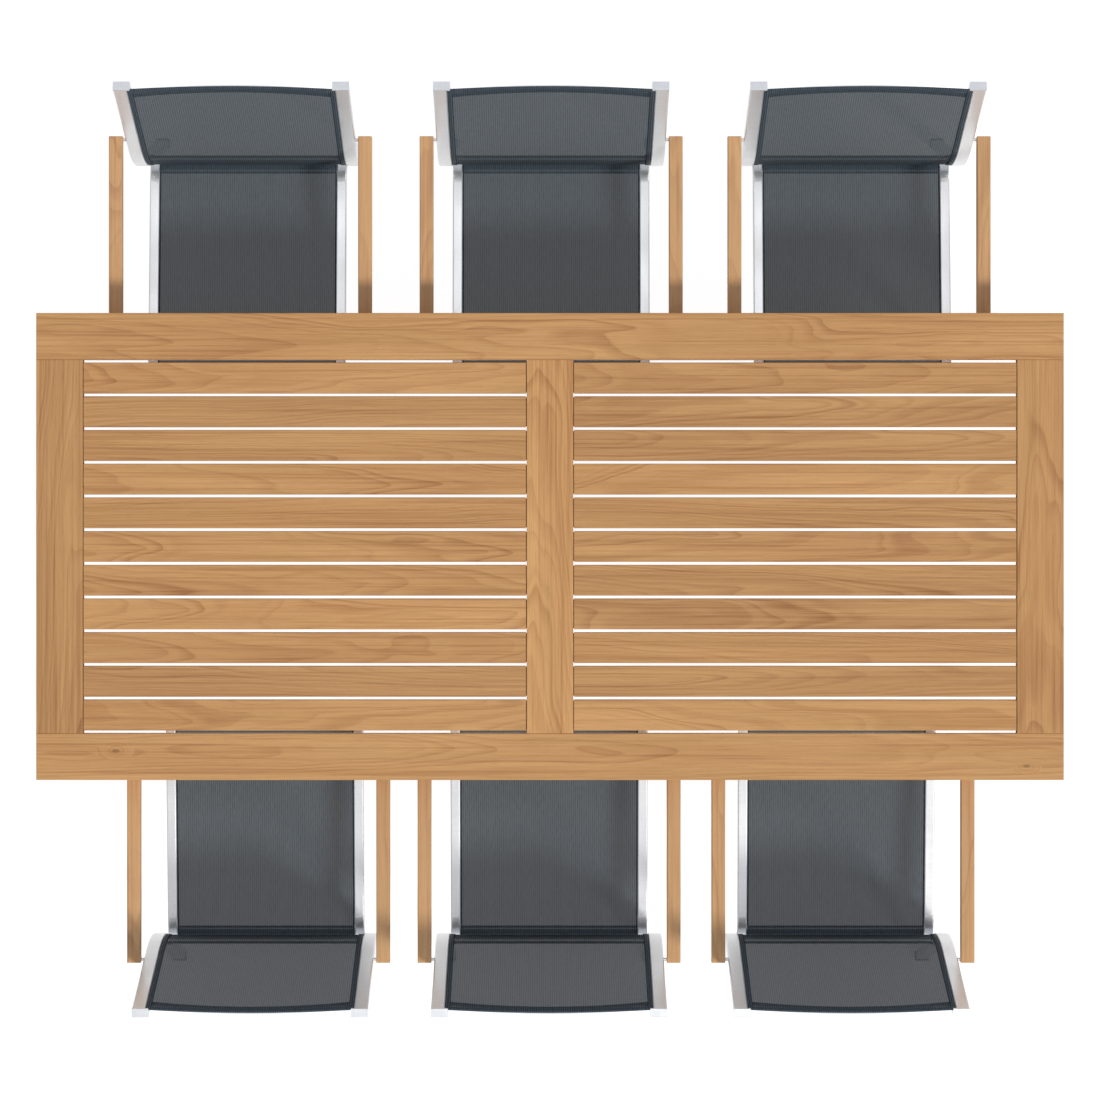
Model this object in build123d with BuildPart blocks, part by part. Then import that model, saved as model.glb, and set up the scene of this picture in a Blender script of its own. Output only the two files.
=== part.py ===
"""Patio dining set: a slatted teak table with six sling armchairs drawn up to it.

Millimetres. The origin is on the floor under the middle of the table top, +X runs along
the table's length, +Y towards chairs 1 to 3, and +Z is up. Every chair is made once, in
its own frame (origin on the floor amid its four feet, +Y towards its back), and copied.
"""

from build123d import *
from math import cos, radians, sin, sqrt, tan
import os

os.makedirs("parts", exist_ok=True)

# Table top: two long rails, three cross boards between them, and slats in two bays.
TABLE_LENGTH = 2200
TABLE_WIDTH = 1000
TABLE_HEIGHT = 742
BOARD_WIDTH = 100
BOARD_THICK = 28
BOARD_ROUND = 1.5
SLATS_PER_BAY = 11
SLAT_GAP = 6
SLAT_THICK = 20
SLAT_ROUND = 2
SLAT_END_GAP = 1.5

# Joinery of the top.
TENON_THICK = 10
TENON_LONG = 40
TENON_SHOULDER = 15
GROOVE_DEPTH = 12
GROOVE_SLACK = 0.5

# Table base.
LEG_SIZE = 60
LEG_INSET = 2
LEG_ROUND = 3
APRON_THICK = 25
APRON_DEEP = 62
APRON_TENON = 20
APRON_SHOULDER = 11
BEARER_WIDE = 60
BEARER_DEEP = 40
TABLE_GLIDE_RADIUS = 20
TABLE_GLIDE_HIGH = 5
GLIDE_NAIL_RADIUS = 2
GLIDE_NAIL_LONG = 15

# Corner brackets that pull each table leg against its two aprons.
BRACKET_THICK = 3
BRACKET_HIGH = 40
BRACKET_REACH = 70
BRACKET_FLANGE = 30
LEG_BOLT_RADIUS = 4
LEG_BOLT_BITE = 25
NUT_RADIUS = 7.5
NUT_HIGH = 6.5

# Chair frame: rectangular stainless tube.
TUBE_WIDE = 30
TUBE_DEEP = 20
TUBE_WALL = 1.5
TUBE_CORNER = 3
POST_INNER = 219
BACK_RECLINE = 18.2
LEG_SPLAY = 11.87
KNEE = (146.7, 483)
KNEE_RADIUS = 390
POST_RISE = 405
FRONT_FOOT_Y = -245.5
FRONT_LEG_LEAN = 0.92
FRONT_LEG_TOP = 630
CAP_THICK = 4
TRACK_WIDE = 6
TRACK_DEEP = 13

# Chair seat rails and cross tubes.
RAIL_WIDE = 22
RAIL_DEEP = 26
SEAT_RAKE = 5.43
RAIL_FRONT_Y = -326
RAIL_BEND_Y = 132
RAIL_BEND_RADIUS = 60
RAIL_TAIL = (170, 380)
SEAT_HEIGHT = 433
SEAT_DROP = 3
SLING_THICK = 3
SEAT_BAR_RADIUS = 9
FRONT_BAR_Y = -313
REAR_BAR_Y = 151
KNEE_BAR = (163.5, 440)
KNEE_BAR_RADIUS = 7
TOP_BAR = (263.2, 828)
TOP_BAR_RADIUS = 8
TOP_BAR_BOW = 10.8

# Chair armrests, their bolts, and the floor glides.
ARM_INNER = 255.5
ARM_WIDE = 30
ARM_THICK = 20
ARM_TOP = 634
ARM_FRONT_Y = -277
ARM_REAR_Y = 195
ARM_ROUND = 3
ARM_BOLT_REAR_Y = 188
BOLT_RADIUS = 2.5
BOLT_HEAD_RADIUS = 4.5
BOLT_HEAD_HIGH = 4
SLEEVE_RADIUS = 3.5
BOLT_SLACK = 0.1
GLIDE_HIGH = 6
GLIDE_PLUG = 14

# Where the chairs stand: row 1 to 3 on the +Y side, row 4 to 6 on the -Y side.
CHAIR_SETBACK = 702
CHAIR_ROW_SHIFT = -6.5
BACK_ROW_X = (-672, 2.5, 671)
FRONT_ROW_X = (-632.5, -2, 636)

top_under = TABLE_HEIGHT - BOARD_THICK
bay_width = TABLE_WIDTH - 2 * BOARD_WIDTH
bay_length = (TABLE_LENGTH - 3 * BOARD_WIDTH) / 2
bay_centre = (BOARD_WIDTH + bay_length) / 2
slat_width = (bay_width - (SLATS_PER_BAY + 1) * SLAT_GAP) / SLATS_PER_BAY
slat_pitch = slat_width + SLAT_GAP
tongue_z = TABLE_HEIGHT - SLAT_THICK + 2
cross_board_x = (TABLE_LENGTH - BOARD_WIDTH) / 2
leg_x = TABLE_LENGTH / 2 - LEG_INSET - LEG_SIZE / 2
leg_y = TABLE_WIDTH / 2 - LEG_INSET - LEG_SIZE / 2
apron_z = top_under - APRON_DEEP
bolt_z = apron_z + APRON_DEEP / 2
post_centre = POST_INNER + TUBE_WIDE / 2
rail_inner = POST_INNER - RAIL_WIDE
knee_y, knee_z = KNEE
foot_y = knee_y + knee_z * tan(radians(LEG_SPLAY))


def save(piece, name):
    """Label one finished piece and write its STEP file."""
    piece.label = name
    export_step(piece, f"parts/{name}.step")


# ---------------------------------------------------------------- table top


def long_rail(side):
    """A full-length board with a mortise for each cross board."""
    inner_edge = side * (TABLE_WIDTH / 2 - BOARD_WIDTH)
    edge_plane = Plane(
        origin=(0, inner_edge, tongue_z + TENON_THICK / 2), x_dir=(1, 0, 0), z_dir=(0, side, 0)
    )
    with BuildPart() as rail:
        with BuildSketch(Plane.XY.offset(top_under)):
            with Locations((0, side * (TABLE_WIDTH - BOARD_WIDTH) / 2)):
                Rectangle(TABLE_LENGTH, BOARD_WIDTH)
        extrude(amount=BOARD_THICK)
        fillet(rail.edges().group_by(Axis.Z)[-1], BOARD_ROUND)
        fillet(rail.edges().group_by(Axis.Z)[0], BOARD_ROUND)
        with BuildSketch(edge_plane):
            with Locations((-cross_board_x, 0), (0, 0), (cross_board_x, 0)):
                Rectangle(BOARD_WIDTH - 2 * TENON_SHOULDER, TENON_THICK)
        extrude(amount=TENON_LONG, mode=Mode.SUBTRACT)
    return rail.part


def cross_board(x, groove_sides):
    """A board between the rails, tenoned at both ends and grooved for the slats."""
    with BuildPart() as board:
        with BuildSketch(Plane.XY.offset(top_under)):
            with Locations((x, 0)):
                Rectangle(BOARD_WIDTH, bay_width)
        extrude(amount=BOARD_THICK)
        fillet(board.edges().group_by(Axis.Z)[-1], BOARD_ROUND)
        fillet(board.edges().group_by(Axis.Z)[0], BOARD_ROUND)
        with BuildSketch(Plane.XY.offset(tongue_z)):
            with Locations((x, 0)):
                Rectangle(BOARD_WIDTH - 2 * TENON_SHOULDER, bay_width + 2 * TENON_LONG - 1)
        extrude(amount=TENON_THICK)
        with BuildSketch(Plane.XY.offset(tongue_z)):
            for side in groove_sides:
                with Locations((x + side * (BOARD_WIDTH - GROOVE_DEPTH) / 2, 0)):
                    Rectangle(GROOVE_DEPTH, bay_width)
        extrude(amount=TENON_THICK, mode=Mode.SUBTRACT)
    return board.part


def slats(side):
    """One bay of slats, each with a tongue at both ends that sits in the boards' grooves."""
    rows = [(side * bay_centre, slat_pitch * (n - (SLATS_PER_BAY - 1) / 2)) for n in range(SLATS_PER_BAY)]
    with BuildPart() as bay:
        with BuildSketch(Plane.XY.offset(TABLE_HEIGHT - SLAT_THICK)):
            with Locations(*rows):
                Rectangle(bay_length - 2 * SLAT_END_GAP, slat_width)
        extrude(amount=SLAT_THICK)
        fillet(bay.edges().filter_by(Axis.X), SLAT_ROUND)
        with BuildSketch(Plane.XY.offset(tongue_z)):
            with Locations(*rows):
                Rectangle(bay_length + 2 * (GROOVE_DEPTH - GROOVE_SLACK), slat_width - 2 * SLAT_ROUND)
        extrude(amount=TENON_THICK)
    return bay.part


# --------------------------------------------------------------- table base


def table_leg(side_x, side_y):
    """A square leg with two mortises, a hole for its hanger bolt and one for its glide's nail."""
    centre = (side_x * leg_x, side_y * leg_y)
    mortise_high = APRON_DEEP - 2 * APRON_SHOULDER
    bolt_plane = Plane(
        origin=(centre[0], centre[1], bolt_z), x_dir=(0, 0, 1), z_dir=(-side_x, -side_y, 0)
    )
    corner = LEG_SIZE / sqrt(2)
    with BuildPart() as leg:
        with BuildSketch(Plane.XY.offset(TABLE_GLIDE_HIGH)):
            with Locations(centre):
                Rectangle(LEG_SIZE, LEG_SIZE)
        extrude(amount=top_under - TABLE_GLIDE_HIGH)
        fillet(leg.edges().filter_by(Axis.Z), LEG_ROUND)
        with BuildSketch(Plane.XY.offset(apron_z + APRON_SHOULDER)):
            with Locations((centre[0] - side_x * (LEG_SIZE - APRON_TENON) / 2, centre[1])):
                Rectangle(APRON_TENON, TENON_THICK)
            with Locations((centre[0], centre[1] - side_y * (LEG_SIZE - APRON_TENON) / 2)):
                Rectangle(TENON_THICK, APRON_TENON)
        extrude(amount=mortise_high, mode=Mode.SUBTRACT)
        with BuildSketch(bolt_plane.offset(corner - LEG_BOLT_BITE)):
            Circle(LEG_BOLT_RADIUS + BOLT_SLACK)
        extrude(amount=LEG_BOLT_BITE, mode=Mode.SUBTRACT)
        with BuildSketch(Plane.XY.offset(TABLE_GLIDE_HIGH)):
            with Locations(centre):
                Circle(GLIDE_NAIL_RADIUS + BOLT_SLACK)
        extrude(amount=GLIDE_NAIL_LONG, mode=Mode.SUBTRACT)
    return leg.part


def apron(centre, length, along_x):
    """A rail under the top from leg to leg, with a tenon at each end."""
    body = (length, APRON_THICK) if along_x else (APRON_THICK, length)
    long_tenon = length + 2 * APRON_TENON - 1
    tenon = (long_tenon, TENON_THICK) if along_x else (TENON_THICK, long_tenon)
    with BuildPart() as board:
        with BuildSketch(Plane.XY.offset(apron_z)):
            with Locations(centre):
                Rectangle(*body)
        extrude(amount=APRON_DEEP)
        fillet(board.edges().group_by(Axis.Z)[0].filter_by(Axis.X if along_x else Axis.Y), SLAT_ROUND)
        with BuildSketch(Plane.XY.offset(apron_z + APRON_SHOULDER)):
            with Locations(centre):
                Rectangle(*tenon)
        extrude(amount=APRON_DEEP - 2 * APRON_SHOULDER)
    return board.part


def cross_bearer():
    """A batten under the middle board, from apron to apron."""
    with BuildPart() as bearer:
        with BuildSketch(Plane.XY.offset(top_under - BEARER_DEEP)):
            Rectangle(BEARER_WIDE, 2 * leg_y - APRON_THICK)
        extrude(amount=BEARER_DEEP)
        fillet(bearer.edges().group_by(Axis.Z)[0].filter_by(Axis.Y), SLAT_ROUND)
    return bearer.part


def corner_bracket(side_x, side_y):
    """A folded plate across one corner of the aprons, with a hanger bolt and nut: 3 solids."""
    inner_x = leg_x - (APRON_THICK + BRACKET_THICK) / 2
    inner_y = leg_y - (APRON_THICK + BRACKET_THICK) / 2
    fold = [
        (inner_x - BRACKET_REACH - BRACKET_FLANGE, inner_y),
        (inner_x - BRACKET_REACH, inner_y),
        (inner_x, inner_y - BRACKET_REACH),
        (inner_x, inner_y - BRACKET_REACH - BRACKET_FLANGE),
    ]
    middle = (inner_x - BRACKET_REACH / 2, inner_y - BRACKET_REACH / 2)
    bolt_plane = Plane(
        origin=(side_x * middle[0], side_y * middle[1], bolt_z),
        x_dir=(0, 0, 1),
        z_dir=(side_x, side_y, 0),
    )
    leg_corner = (leg_x - LEG_SIZE / 2, leg_y - LEG_SIZE / 2)
    to_leg = (leg_corner[0] - middle[0] + leg_corner[1] - middle[1]) / sqrt(2)
    with BuildPart() as plate:
        with BuildSketch(Plane.XY.offset(bolt_z - BRACKET_HIGH / 2)):
            with BuildLine():
                Polyline(*[(side_x * x, side_y * y) for x, y in fold])
            trace(line_width=BRACKET_THICK)
        extrude(amount=BRACKET_HIGH)
        with BuildSketch(bolt_plane):
            Circle(LEG_BOLT_RADIUS + BOLT_SLACK)
        extrude(amount=BRACKET_THICK, both=True, mode=Mode.SUBTRACT)
    with BuildPart() as bolt:
        with BuildSketch(bolt_plane.offset(-BRACKET_THICK / 2 - NUT_HIGH - 3)):
            Circle(LEG_BOLT_RADIUS)
        extrude(amount=BRACKET_THICK / 2 + NUT_HIGH + 3 + to_leg + LEG_BOLT_BITE - 1)
    with BuildPart() as nut:
        with BuildSketch(bolt_plane.offset(-BRACKET_THICK / 2 - NUT_HIGH)):
            RegularPolygon(NUT_RADIUS, 6)
            Circle(LEG_BOLT_RADIUS + BOLT_SLACK, mode=Mode.SUBTRACT)
        extrude(amount=NUT_HIGH)
    return [plate.part, bolt.part, nut.part]


def table_glides():
    """Nail-on glides, one under each leg."""
    feet = [(side_x * leg_x, side_y * leg_y) for side_x in (-1, 1) for side_y in (-1, 1)]
    with BuildPart() as glides:
        with BuildSketch():
            with Locations(*feet):
                Circle(TABLE_GLIDE_RADIUS)
        extrude(amount=TABLE_GLIDE_HIGH)
        fillet(glides.edges().group_by(Axis.Z)[0], BOARD_ROUND)
        with BuildSketch():
            with Locations(*feet):
                Circle(GLIDE_NAIL_RADIUS)
        extrude(amount=TABLE_GLIDE_HIGH + GLIDE_NAIL_LONG - 1)
    return glides.part


# -------------------------------------------------------------- chair frame


def post_path():
    """Centre line of a back post: up from the foot, round the knee, and back to the top."""
    low = foot_y + GLIDE_PLUG * tan(radians(LEG_SPLAY))
    top = (
        0,
        knee_y + POST_RISE * sin(radians(BACK_RECLINE)),
        knee_z + POST_RISE * cos(radians(BACK_RECLINE)),
    )
    with BuildLine() as path:
        FilletPolyline((0, low, -GLIDE_PLUG), (0, knee_y, knee_z), top, radius=KNEE_RADIUS)
    return path.line


def rail_top(y):
    """Height of a seat rail's top face at a distance y along the chair."""
    return SEAT_HEIGHT - y * tan(radians(SEAT_RAKE))


def end_plane(path, at, x=0):
    """The plane square to a path's start (at 0) or end (at 1), with its local x along +X."""
    point = path @ at
    return Plane(origin=(x, point.Y, point.Z), x_dir=(1, 0, 0), z_dir=path % at)


def back_post():
    """The right back post and rear leg: one bent tube with its end cap."""
    path = post_path()
    placed = path.moved(Location((post_centre, 0, 0)))
    bolt_plane = Plane.YZ.offset(post_centre)
    with BuildPart() as post:
        with BuildSketch(end_plane(path, 0, post_centre)):
            RectangleRounded(TUBE_WIDE, TUBE_DEEP, TUBE_CORNER)
            RectangleRounded(
                TUBE_WIDE - 2 * TUBE_WALL,
                TUBE_DEEP - 2 * TUBE_WALL,
                TUBE_CORNER - TUBE_WALL,
                mode=Mode.SUBTRACT,
            )
        sweep(path=placed)
        with BuildSketch(end_plane(path, 1, post_centre)):
            with Locations((-TRACK_WIDE / 2, 0)):
                RectangleRounded(TUBE_WIDE + TRACK_WIDE, TUBE_DEEP, 1)
        extrude(amount=CAP_THICK)
        split(bisect_by=Plane.XY.offset(GLIDE_HIGH), keep=Keep.TOP)
        with BuildSketch(bolt_plane):
            with Locations((ARM_BOLT_REAR_Y, ARM_TOP - ARM_THICK / 2)):
                Circle(BOLT_RADIUS + BOLT_SLACK)
        extrude(amount=TUBE_WIDE, mode=Mode.SUBTRACT)
    return post.part


def sling_track():
    """The flat bar on the post's inner face that the back sling's edge is threaded on."""
    path = post_path()
    x = POST_INNER - TRACK_WIDE / 2
    with BuildPart() as track:
        with BuildSketch(end_plane(path, 0, x)):
            with Locations((0, (TUBE_DEEP - TRACK_DEEP) / 2)):
                Rectangle(TRACK_WIDE, TRACK_DEEP)
        sweep(path=path.moved(Location((x, 0, 0))))
        split(bisect_by=Plane.XY.offset(KNEE_BAR[1] + 2 * KNEE_BAR_RADIUS), keep=Keep.TOP)
    return track.part


def front_leg():
    """The right front leg: a straight tube with a closed top, level with the arm."""
    tilt = radians(FRONT_LEG_LEAN)
    axis = (0, -sin(tilt), cos(tilt))
    start = Plane(
        origin=(post_centre, FRONT_FOOT_Y + GLIDE_PLUG * tan(tilt), -GLIDE_PLUG), x_dir=(1, 0, 0), z_dir=axis
    )
    length = (FRONT_LEG_TOP + GLIDE_PLUG) / cos(tilt)
    bolt_y = FRONT_FOOT_Y - (ARM_TOP - ARM_THICK / 2) * tan(tilt)
    with BuildPart() as leg:
        with BuildSketch(start):
            RectangleRounded(TUBE_WIDE, TUBE_DEEP, TUBE_CORNER)
        extrude(amount=length)
        with BuildSketch(start):
            RectangleRounded(
                TUBE_WIDE - 2 * TUBE_WALL, TUBE_DEEP - 2 * TUBE_WALL, TUBE_CORNER - TUBE_WALL
            )
        extrude(amount=length - TUBE_WALL, mode=Mode.SUBTRACT)
        split(bisect_by=Plane.XY.offset(GLIDE_HIGH), keep=Keep.TOP)
        with BuildSketch(Plane.YZ.offset(post_centre)):
            with Locations((bolt_y, ARM_TOP - ARM_THICK / 2)):
                Circle(BOLT_RADIUS + BOLT_SLACK)
        extrude(amount=TUBE_WIDE, mode=Mode.SUBTRACT)
    return leg.part, bolt_y


def seat_rail():
    """The right seat rail: a tube that rises to the front and dips beside the back post."""
    x = POST_INNER - RAIL_WIDE / 2
    drop = RAIL_DEEP / 2 / cos(radians(SEAT_RAKE))
    with BuildLine() as path:
        FilletPolyline(
            (x, RAIL_FRONT_Y, rail_top(RAIL_FRONT_Y) - drop),
            (x, RAIL_BEND_Y, rail_top(RAIL_BEND_Y) - drop),
            (x, *RAIL_TAIL),
            radius=RAIL_BEND_RADIUS,
        )
    with BuildPart() as rail:
        with BuildSketch(end_plane(path.line, 0, x)):
            RectangleRounded(RAIL_WIDE, RAIL_DEEP, TUBE_CORNER)
            RectangleRounded(
                RAIL_WIDE - 2 * TUBE_WALL,
                RAIL_DEEP - 2 * TUBE_WALL,
                TUBE_CORNER - TUBE_WALL,
                mode=Mode.SUBTRACT,
            )
        sweep(path=path.line)
        for at, out in ((0, -TUBE_WALL), (1, TUBE_WALL)):
            with BuildSketch(end_plane(path.line, at, x)):
                RectangleRounded(RAIL_WIDE, RAIL_DEEP, TUBE_CORNER)
            extrude(amount=out)
    return rail.part


def cross_tube(place, radius, half_span):
    """A straight round tube across the chair, at place = (y, z)."""
    with BuildPart() as bar:
        with BuildSketch(Plane.YZ.offset(-half_span)):
            with Locations(place):
                Circle(radius)
                Circle(radius - TUBE_WALL, mode=Mode.SUBTRACT)
        extrude(amount=2 * half_span)
    return bar.part


def top_tube():
    """The round tube behind the back sling, bowed away from the sitter."""
    y, z = TOP_BAR
    half = POST_INNER - TRACK_WIDE
    with BuildLine() as path:
        ThreePointArc((-half, y, z), (0, y + TOP_BAR_BOW, z), (half, y, z))
    with BuildPart() as bar:
        with BuildSketch(path.line ^ 0):
            Circle(TOP_BAR_RADIUS)
            Circle(TOP_BAR_RADIUS - TUBE_WALL, mode=Mode.SUBTRACT)
        sweep(path=path.line)
        for side, keep in ((-1, Keep.TOP), (1, Keep.BOTTOM)):
            split(bisect_by=Plane.YZ.offset(side * (half - 0.2)), keep=keep)
    return bar.part


# --------------------------------------------------- chair slings and wood


def seat_sling():
    """The seat sling as a flat slab between the rails, just under their top faces."""
    front, rear = RAIL_FRONT_Y + 4, REAR_BAR_Y + 2
    high = [(y, rail_top(y) - SEAT_DROP) for y in (front, rear)]
    low = [(y, rail_top(y) - SEAT_DROP - SLING_THICK) for y in (rear, front)]
    with BuildPart() as sling:
        with BuildSketch(Plane.YZ.offset(-rail_inner)):
            with BuildLine():
                Polyline(*high, *low, close=True)
            make_face()
        extrude(amount=2 * rail_inner)
    return sling.part


def back_sling():
    """The back sling as a slab that follows the posts' front faces round the knee."""
    path = post_path()
    near_front = SLING_THICK - TUBE_DEEP / 2
    with BuildPart() as sling:
        with BuildSketch(end_plane(path, 0)):
            with Locations((0, near_front)):
                Rectangle(2 * POST_INNER, SLING_THICK)
        sweep(path=path)
        split(bisect_by=Plane.XY.offset(KNEE_BAR[1] - KNEE_BAR_RADIUS), keep=Keep.TOP)
    return sling.part


def armrest(bolt_ys):
    """The right armrest: a straight teak bar with a counterbored hole for each bolt."""
    x = ARM_INNER + ARM_WIDE / 2
    middle = (ARM_FRONT_Y + ARM_REAR_Y) / 2
    outer = Plane.YZ.offset(ARM_INNER + ARM_WIDE)
    with BuildPart() as arm:
        with BuildSketch(Plane.XY.offset(ARM_TOP - ARM_THICK)):
            with Locations((x, middle)):
                Rectangle(ARM_WIDE, ARM_REAR_Y - ARM_FRONT_Y)
        extrude(amount=ARM_THICK)
        fillet(arm.edges().filter_by(Axis.Y), ARM_ROUND)
        fillet(arm.edges().filter_by(GeomType.LINE).filter_by(Axis.Z), SLAT_ROUND / 2)
        for radius, depth in (
            (BOLT_RADIUS + BOLT_SLACK, ARM_WIDE),
            (BOLT_HEAD_RADIUS + BOLT_SLACK, BOLT_HEAD_HIGH),
        ):
            with BuildSketch(outer):
                with Locations(*[(y, ARM_TOP - ARM_THICK / 2) for y in bolt_ys]):
                    Circle(radius)
            extrude(amount=-depth, mode=Mode.SUBTRACT)
    return arm.part


def arm_fixing(y):
    """One arm bolt from the arm's outer side into the tube, and the sleeve between: 2 solids."""
    at = (y, ARM_TOP - ARM_THICK / 2)
    outer = ARM_INNER + ARM_WIDE
    tube_outer = POST_INNER + TUBE_WIDE
    with BuildPart() as bolt:
        with BuildSketch(Plane.YZ.offset(tube_outer - 3 * TUBE_WALL)):
            with Locations(at):
                Circle(BOLT_RADIUS)
        extrude(amount=outer - tube_outer + 3 * TUBE_WALL - 1)
        with BuildSketch(Plane.YZ.offset(outer - BOLT_HEAD_HIGH)):
            with Locations(at):
                Circle(BOLT_HEAD_RADIUS)
        extrude(amount=BOLT_HEAD_HIGH - 0.5)
        with BuildSketch(Plane.YZ.offset(outer - 0.5)):
            with Locations(at):
                RegularPolygon(BOLT_RADIUS, 6)
        extrude(amount=-BOLT_RADIUS, mode=Mode.SUBTRACT)
    with BuildPart() as sleeve:
        with BuildSketch(Plane.YZ.offset(tube_outer)):
            with Locations(at):
                Circle(SLEEVE_RADIUS)
                Circle(BOLT_RADIUS + BOLT_SLACK, mode=Mode.SUBTRACT)
        extrude(amount=ARM_INNER - tube_outer)
    return [bolt.part, sleeve.part]


def floor_glide(y_at_floor, lean):
    """A moulded foot: a pad under one leg with a plug inside the tube."""
    axis = (0, -sin(radians(lean)), cos(radians(lean)))
    middle = GLIDE_HIGH / 2
    y = y_at_floor - middle * tan(radians(lean))
    with BuildPart() as glide:
        with BuildSketch():
            with Locations((post_centre, y)):
                RectangleRounded(TUBE_WIDE + 1, TUBE_DEEP + 2, TUBE_CORNER)
        extrude(amount=GLIDE_HIGH)
        fillet(glide.edges().group_by(Axis.Z)[0], 1)
        with BuildSketch(Plane(origin=(post_centre, y, middle), x_dir=(1, 0, 0), z_dir=axis)):
            Rectangle(TUBE_WIDE - 2 * TUBE_WALL - 1, TUBE_DEEP - 2 * TUBE_WALL - 1)
        extrude(amount=GLIDE_PLUG)
    return glide.part


# ---------------------------------------------------------- write the table

save(long_rail(-1), "table_front_rail")
save(long_rail(1), "table_back_rail")
save(cross_board(-cross_board_x, (1,)), "table_left_end_board")
save(cross_board(0, (-1, 1)), "table_centre_board")
save(cross_board(cross_board_x, (-1,)), "table_right_end_board")
save(slats(-1), "table_left_slats")
save(slats(1), "table_right_slats")

between_legs_x = 2 * leg_x - LEG_SIZE
between_legs_y = 2 * leg_y - LEG_SIZE
save(apron((0, -leg_y), between_legs_x, True), "table_front_apron")
save(apron((0, leg_y), between_legs_x, True), "table_back_apron")
save(apron((-leg_x, 0), between_legs_y, False), "table_left_apron")
save(apron((leg_x, 0), between_legs_y, False), "table_right_apron")
save(cross_bearer(), "table_cross_bearer")
save(table_glides(), "table_glides")

brackets = []
for side_y, row in ((-1, "front"), (1, "back")):
    for side_x, hand in ((-1, "left"), (1, "right")):
        save(table_leg(side_x, side_y), f"table_{row}_{hand}_leg")
        brackets += corner_bracket(side_x, side_y)
save(Compound(children=brackets), "table_corner_brackets")

# --------------------------------------------------------- write the chairs

right_leg, front_bolt_y = front_leg()
arm_bolt_ys = (front_bolt_y, ARM_BOLT_REAR_Y)
bar_drop = SEAT_DROP + SLING_THICK + SEAT_BAR_RADIUS + 1
front_bar_z = rail_top(FRONT_BAR_Y) - bar_drop
rear_bar_z = rail_top(REAR_BAR_Y) - bar_drop

right_tubes = [back_post(), sling_track(), right_leg, seat_rail()]
left_tubes = [mirror(tube, about=Plane.YZ) for tube in right_tubes]
cross_tubes = [
    cross_tube((FRONT_BAR_Y, front_bar_z), SEAT_BAR_RADIUS, rail_inner),
    cross_tube((REAR_BAR_Y, rear_bar_z), SEAT_BAR_RADIUS, rail_inner),
    cross_tube(KNEE_BAR, KNEE_BAR_RADIUS, POST_INNER),
    top_tube(),
]
right_arm = armrest(arm_bolt_ys)
right_fixings = [solid for y in arm_bolt_ys for solid in arm_fixing(y)]
right_glides = [floor_glide(FRONT_FOOT_Y, FRONT_LEG_LEAN), floor_glide(foot_y, LEG_SPLAY)]

chair_pieces = {
    "frame": right_tubes + left_tubes + cross_tubes,
    "seat_sling": [seat_sling()],
    "back_sling": [back_sling()],
    "left_armrest": [mirror(right_arm, about=Plane.YZ)],
    "right_armrest": [right_arm],
    "arm_bolts": right_fixings + [mirror(solid, about=Plane.YZ) for solid in right_fixings],
    "glides": right_glides + [mirror(solid, about=Plane.YZ) for solid in right_glides],
}

places = [Location((x, CHAIR_ROW_SHIFT + CHAIR_SETBACK, 0)) for x in BACK_ROW_X]
places += [Location((x, CHAIR_ROW_SHIFT - CHAIR_SETBACK, 0), (0, 0, 180)) for x in FRONT_ROW_X]

for number, place in enumerate(places, start=1):
    for piece, solids in chair_pieces.items():
        copies = [solid.moved(place) for solid in solids]
        whole = copies[0] if len(copies) == 1 else Compound(children=copies)
        save(whole, f"chair_{number}_{piece}")
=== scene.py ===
# %% [markdown]
# # A slatted teak table and six sling armchairs
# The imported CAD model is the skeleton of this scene: it gives every tube, board and bolt its place.
# In Blender we light it, give each part a finish that is computed rather than painted, and replace
# the plain slabs that stand for cloth with real slings. Everything is in metres, and +Z is up.

# %% Load the frame
from math import cos, degrees, pi, radians, sin, tan

import bmesh
import bpy
from mathutils import Matrix, Vector


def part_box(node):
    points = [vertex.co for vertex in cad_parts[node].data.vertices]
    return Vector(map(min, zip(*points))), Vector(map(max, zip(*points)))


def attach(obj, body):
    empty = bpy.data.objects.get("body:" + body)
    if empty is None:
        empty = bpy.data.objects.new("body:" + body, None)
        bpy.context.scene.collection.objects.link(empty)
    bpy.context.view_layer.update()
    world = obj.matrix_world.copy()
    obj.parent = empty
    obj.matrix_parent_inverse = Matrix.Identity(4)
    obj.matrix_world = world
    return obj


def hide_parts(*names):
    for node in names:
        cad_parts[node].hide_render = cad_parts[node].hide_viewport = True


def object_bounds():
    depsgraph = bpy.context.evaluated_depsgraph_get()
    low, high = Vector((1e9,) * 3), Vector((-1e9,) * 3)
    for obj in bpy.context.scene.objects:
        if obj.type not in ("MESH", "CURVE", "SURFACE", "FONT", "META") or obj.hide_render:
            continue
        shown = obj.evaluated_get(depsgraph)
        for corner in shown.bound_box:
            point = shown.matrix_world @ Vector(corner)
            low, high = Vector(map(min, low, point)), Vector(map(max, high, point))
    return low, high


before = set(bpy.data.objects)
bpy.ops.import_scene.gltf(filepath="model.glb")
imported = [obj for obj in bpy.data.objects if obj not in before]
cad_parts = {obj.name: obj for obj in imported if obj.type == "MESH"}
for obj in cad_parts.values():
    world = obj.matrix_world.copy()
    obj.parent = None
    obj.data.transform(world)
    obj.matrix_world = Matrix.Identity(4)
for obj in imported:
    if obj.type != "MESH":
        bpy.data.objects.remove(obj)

cad_box = [list(corner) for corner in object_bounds()]
size = [high - low for low, high in zip(*cad_box)]
print("CAD box", [round(edge, 4) for edge in size], "m,", len(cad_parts), "nodes")

# %% [markdown]
# ## Camera
# The set is seen from straight above, from high up, so a long lens is used. A long lens keeps
# perspective mild: the chair backs, which are nearest, lean outwards only a little. A camera with no
# rotation looks down -Z with +Y at the top of the frame, which is just what is needed.

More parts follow.
